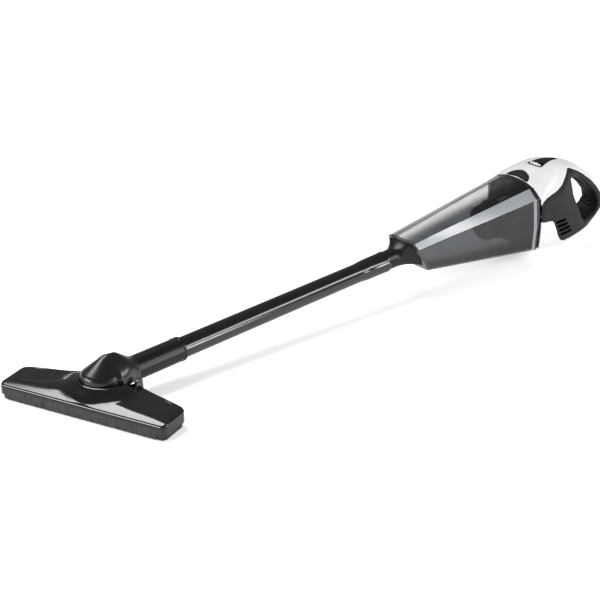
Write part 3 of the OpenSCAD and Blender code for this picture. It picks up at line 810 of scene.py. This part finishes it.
def bowl():
    """Clear shell, drawn as rings: outer skin to the joint, inner skin back, flange at the mouth."""
    rows = []
    for d, behind, way in ((0, 0.0, (0, 1)), (BOWL_WALL, FLANGE, (1, 0))):
        a, b = bowl_lines(d)
        for s in np.linspace(*way, SKIN_ROWS):
            t = mouth_t(a, b, behind) * (1 - s) + s
            rows.append(np.column_stack([BOWL_U + BOWL_RUN * t, bowl_at(a, b, t)]))
    door = inset_ring(mouth_rim(), 0.8)
    for behind in (FLANGE, 0.0):
        rows.append(np.column_stack([BOWL_U + MOUTH + behind - door[:, 1] * SLANT, door]))
    n, m = len(rows), len(door)
    # Faces in another material, by ring and by place round the ring: pale bands that are painted
    # highlights, and dark lines that are painted shade.
    painted_highlight, edge = 1, 2
    joint = SKIN_ROWS - 1
    mark = np.zeros((n, m), int)
    mark[: 2 * SKIN_ROWS - 1, [14, 59, 64]] = painted_highlight  # painted highlight bands on the shoulders
    mark[joint - 2, 15:34] = painted_highlight  # painted highlight strip along the joint
    # Painted shade: dark lines beside the shoulder bands, on the roof creases, and round the mouth and
    # the joint.
    mark[:joint, [13, 16]] = edge
    mark[20:joint, [7, 66]] = edge
    mark[[0, joint - 1, joint]] = edge
    catch = block((760, 764), (-7, 7), (37.6, 45.7))
    v, f = join((np.concatenate(rows), lattice(n, m, True)), catch)
    marks = mark.ravel().tolist() + [0] * len(catch[1])
    extra = (("smoke_painted_highlight", "smoke_painted_shade"), marks)
    put("bowl_shell", v, f, "smoke_clear", "bowl", ("dust_bowl",), vac, 12, fix=True, second=extra)


# ---------------------------------------------------------------- hand unit
def floor_v(u):
    """Height v of the floor under a place on the tube's axis."""
    return -(AXIS_Z + u * math.sin(TILT)) / math.cos(TILT)


# Half sections of the skin: u, top v, then (w, v) of four corners down the
# side, then bottom v.
STATIONS = [
    (770, 48.5, 34, 42.5, 51, 27, 52, -17, 47.5, -55, -61),
    (785, 53, 33, 47.5, 50.6, 29, 51.6, -18, 47, -60, -66),
    (805, 57, 31, 51.5, 48.6, 30, 50.2, -20, 45.5, -65, -71.5),
    (830, 58.2, 27, 54, 42.5, 31, 47.6, -25, 43, -70, -76),
    (850, 55, 22, 51, 33, 33, 44.2, -28, 39.5, -73.4, floor_v(850) + 0.2),
    (870, 48.5, 16, 43.5, 24, 31.5, 40.4, -34, 36, -75.4, floor_v(870) + 0.2),
    (895, 36, 13, 30, 18.5, 15, 33, -46, 31, -76, floor_v(895) + 1),
    (925, 13.5, 11.5, 8, 15.5, -7, 22.5, -47, 24.5, -70, -76),
    (945, -5, 11.5, -10, 15, -25, 18.5, -46, 19, -60, -68),
    (957.6, -23, 10, -28, 13, -36, 15, -47, 14.5, -55, -58),
]
HAND_FRONT, HAND_REAR = 770.0, 957.2
HOUSING_WALL, GRIP_WALL = 2.3, 2.4
GRIP_GAP = 0.35  # parting between the white and the black
HOLE_LINING = 1.2  # black rim round the finger hole
# Side views (u, v): the finger hole, and the black side grip.
HOLE = [
    (866, 22), (891, 14), (910, 0), (925, -14), (937, -29), (941, -42),
    (936, -51), (925, -54), (893, -52), (884, -42), (873, -20), (865, 2),
]
GRIP_TOP = [
    (771.5, 17), (775, 21.5), (782, 24.7), (807, 27), (824.5, 30),
    (837, 34.5), (848, 37.8), (858, 41.5), (868, 38.6),
]
GRIP = GRIP_TOP + [
    (880, 32), (892, 25.6), (907, 15.4), (928, -2), (941, -16), (954, -34), (962, -50),
    (930, -60), (900, -64.5), (876, -65), (848, -64.5), (830, -62.5), (822, -58),
    (816, -50), (810, -36), (804, -23), (800, -18.5), (795.5, -16.5), (777, -12.5), (771.5, -10),
]


def body_field(u, w, v):
    """Outer skin of the hand unit."""
    st = np.array(STATIONS)
    s = curve(st[:, 0], st[:, 1:], u[:, 0, 0])
    k = (2.0 + 7.0 * step(u[:, 0, 0], 771, 796))[:, None, None]
    aw = np.sqrt(w * w + 16.0) - 4.0
    zero = np.zeros(len(s))
    pts = [(zero, s[:, 0])] + [(s[:, c], s[:, c + 1]) for c in (1, 3, 5, 7)] + [(zero, s[:, 9])]
    f = None
    for (x0, y0), (x1, y1) in zip(pts, pts[1:]):
        ln = np.hypot(x1 - x0, y1 - y0)
        nx, ny = -(y1 - y0) / ln, (x1 - x0) / ln
        d = (aw - x0[:, None, None]) * nx[:, None, None] + (v - y0[:, None, None]) * ny[:, None, None]
        f = d if f is None else smax(f, d, k)
    return f


def button_plan(u, w):
    """Release button seen from above: half an oval behind the joint."""
    along, across = 15.0, 21.0
    return (np.sqrt(((u - 772.5) / along) ** 2 + (w / across) ** 2) - 1) * along


def switch_plan(u, w, grow):
    """Switch and lens seen from above: a teardrop with its round end in front."""
    t = np.clip((u - 813) / (861 - 813), 0, 1)
    half = 13.6 * (1 - t) ** 1.15 + 3.0 * t
    body = (np.abs(w) - half) * 0.85
    nose = np.sqrt((u - 815) ** 2 + (w * 0.5) ** 2) - 7.2
    f = np.where(u < 815, smax(body, nose, 2.0), body)
    return smax(f, u - 862.0, 3.0) - grow


def vent(u, v, i):
    """Side view of slot i of four, counted from the top."""
    x0, y0 = 810 + 4.2 * i, -25 - 8.2 * i
    x1, y1 = 831 + 5.6 * i, -27.5 - 8.0 * i
    dx, dy = x1 - x0, y1 - y0
    t = np.clip(((u - x0) * dx + (v - y0) * dy) / (dx**2 + dy**2), 0, 1)
    return np.sqrt((u - x0 - t * dx) ** 2 + (v - y0 - t * dy) ** 2) - 2.1


def hand_unit():
    """White housing and black grips, cut from one skin and split down the middle."""
    (u, w, v), lo, h = grid((767.5, -56, -84), (962, 56, 62), 1.25)
    aw = np.abs(w)
    skin = smax(body_field(u, w, v), u - HAND_REAR, 5.0)
    hole = poly_sd(u, v, HOLE) - 1.6
    body = smax(skin, -hole, 6.0)
    front = HAND_FRONT - u
    # Round opening at the rear for the charge socket.
    socket = np.minimum(4.7 - np.sqrt(w * w + (v + 44) ** 2), u - 940)
    # Black where the grip's outline or the lining of the finger hole reaches.
    grip = poly_sd(u, v, GRIP)
    side = smax(grip, 15.5 - 5.5 * step(u, 852, 884) - aw, 2.0)
    black = smin(side, hole - HOLE_LINING, 1.5)

    white = smax(smax(hollow(body, HOUSING_WALL), GRIP_GAP - black, 0.7), front, 0.6)
    button_well = np.maximum(button_plan(u, w) - 0.5, np.maximum(772.4 - u, 30 - v))
    switch_well = np.maximum(switch_plan(u, w, 0.5), 40 - v)
    white = smax(white, -button_well, 0.8)
    white = smax(white, -switch_well, 0.8)
    white = smax(white, socket, 0.4)
    faces, p = nets(white, lo, h)
    sides = (("shell_left", "housing_left", 1), ("shell_right", "housing_right", -1))
    halves(p, faces, "white_gloss", "hand_unit", sides)

    # The grip sinks a little along its upper edge.
    rim = line_d(u, v, GRIP_TOP)
    sunk = 1.5 * (1 - step(rim, 2.0, 8.0)) * (grip < 3) * (aw > 14)
    dark = smax(hollow(body + sunk, GRIP_WALL), black, 0.7)
    for i in range(4):
        dark = smax(dark, -np.maximum(vent(u, v, i), 20 - aw), 0.7)
    dark = smax(dark, socket, 0.4)
    dark = smax(dark, front, 0.5)
    faces, p = nets(dark, lo, h)
    sides = (("pad_left", "grip_left", 1), ("pad_right", "grip_right", -1))
    halves(p, faces, "grip_black", "hand_unit", sides)


def release_button():
    """Cap that follows the skin, a little proud of it."""
    proud, depth, front = 0.9, 1.9, 774.2
    (u, w, v), lo, h = grid((771, -23, 36), (791, 23, 60), 0.6)
    f = body_field(u, w, v)
    cap = smax(smax(f - proud, button_plan(u, w), 2.2), front - u, 1.4)
    cap = smax(cap, -(f + depth), 0.4)
    faces, p = nets(cap, lo, h)
    put("button_cap", p, faces, "grip_black", "release", ("release_button",), vac, 45)


def power_switch():
    """Sliding cap, and the stem that reaches down to the switch body."""
    depth, front = 2.6, 821.4
    (u, w, v), lo, h = grid((818, -15, 44), (864, 15, 64), 0.65)
    f = body_field(u, w, v)
    proud = 0.5 - 0.3 * step(u, 826, 860)
    cap = smax(f - proud, switch_plan(u, w, -0.5), 1.4)
    cap = smax(cap, front - u, 1.2)
    cap = smax(cap, -(f + depth), 0.5)
    faces, p = nets(cap, lo, h)
    stem = block((828, 832), (-2, 2), (44.5, 53.2))
    p, faces = join((p, faces), stem)
    put("switch_cap", p, faces, "grip_black", "power_switch", ("switch_slider",), vac, 45)


def lens():
    """Clear window in front of the switch, and the dark frame round it."""
    (u, w, v), lo, h = grid((805, -16, 49), (819, 16, 62), 0.6)
    f = body_field(u, w, v)
    proud, depth, rear = 0.7, 1.8, 815.6
    window = smax(smax(f - proud, switch_plan(u, w, -1.6), 1.2), u - rear, 1.0)
    window = smax(window, -(f + depth), 0.4)
    faces, p = nets(window, lo, h)
    put("lens_clear", p, faces, "clear_window", "hand_unit", ("switch_window",), vac, 45)
    proud, depth, rear = 0.35, 2.0, 816.5
    opening = np.maximum(switch_plan(u, w, -1.5), u - 815.8)
    ring = smax(smax(f - proud, switch_plan(u, w, -0.2), 0.6), -opening, 0.4)
    ring = smax(smax(ring, -(f + depth), 0.4), u - rear, 0.4)
    faces, p = nets(ring, lo, h)
    put("lens_frame", p, faces, "satin_black", "hand_unit", (), vac, 45)


head_cover()
bristles()
hood()
neck_collar()
wand()
adapter()
bowl()
hand_unit()
release_button()
power_switch()
lens()


# ---------------------------------------------------------- floor and light
def area(name, loc, target, size_x, size_y, power):
    """Soft box aimed at a point, in metres and watts."""
    light = bpy.data.lights.new(name, "AREA")
    light.shape = "RECTANGLE"
    light.size = size_x
    light.size_y = size_y
    light.energy = power
    o = bpy.data.objects.new(name, light)
    bpy.context.scene.collection.objects.link(o)
    o.location = loc
    o.rotation_euler = (Vector(target) - Vector(loc)).to_track_quat("-Z", "Y").to_euler()


def pale_floor(half=14.0, z=-0.0004):
    me = bpy.data.meshes.new("floor")
    corners = [(-half, -half, z), (half, -half, z), (half, half, z), (-half, half, z)]
    me.from_pydata(corners, [], [(0, 1, 2, 3)])
    floor = bpy.data.objects.new("floor", me)
    bpy.context.scene.collection.objects.link(floor)
    k = Mat("floor_white")
    k.principled(Specular_IOR_Level=0.1, Emission_Color=(1, 1, 1, 1), Emission_Strength=0.42)
    k.colour(k.noise(0.7, 2.0), (0.3, (0.86, 0.86, 0.86)), (0.7, (0.88, 0.88, 0.88)))
    k.rough(k.noise(3.0), 0.8, 0.9)
    me.materials.append(k.m)


def studio():
    world = bpy.data.worlds.new("studio")
    bpy.context.scene.world = world
    world.use_nodes = True
    sky = world.node_tree.nodes["Background"]
    sky.inputs["Color"].default_value = (1, 1, 1, 1)
    sky.inputs["Strength"].default_value = 0.25
    area("top_box", (-0.13, 1.1, 2.28), (0.1, 0.05, 0.02), 1.7, 0.95, 58)
    area("side_box", (1.55, -1.4, 0.95), (0.35, 0, 0.05), 1.6, 0.45, 24)
    area("front_box", (-1.45, 0.36, 0.3), (0, 0, 0.04), 0.9, 0.5, 22)
    area("low_box", (1.2, -2.0, 0.26), (0, 0, 0.04), 0.5, 0.42, 12)


def main_camera():
    lens_data = bpy.data.cameras.new("camera")
    lens_data.lens = 108.0
    lens_data.sensor_width = 36.0
    lens_data.dof.use_dof = False
    camera = bpy.data.objects.new("camera", lens_data)
    bpy.context.scene.collection.objects.link(camera)
    camera.location = (-1.1411, -1.7194, 1.1073)
    camera.rotation_euler = Euler((math.radians(64.93), 0.0, math.radians(-40.68)), "XYZ")
    bpy.context.scene.camera = camera
    bpy.context.scene.view_settings.view_transform = "Standard"


pale_floor()
studio()
main_camera()
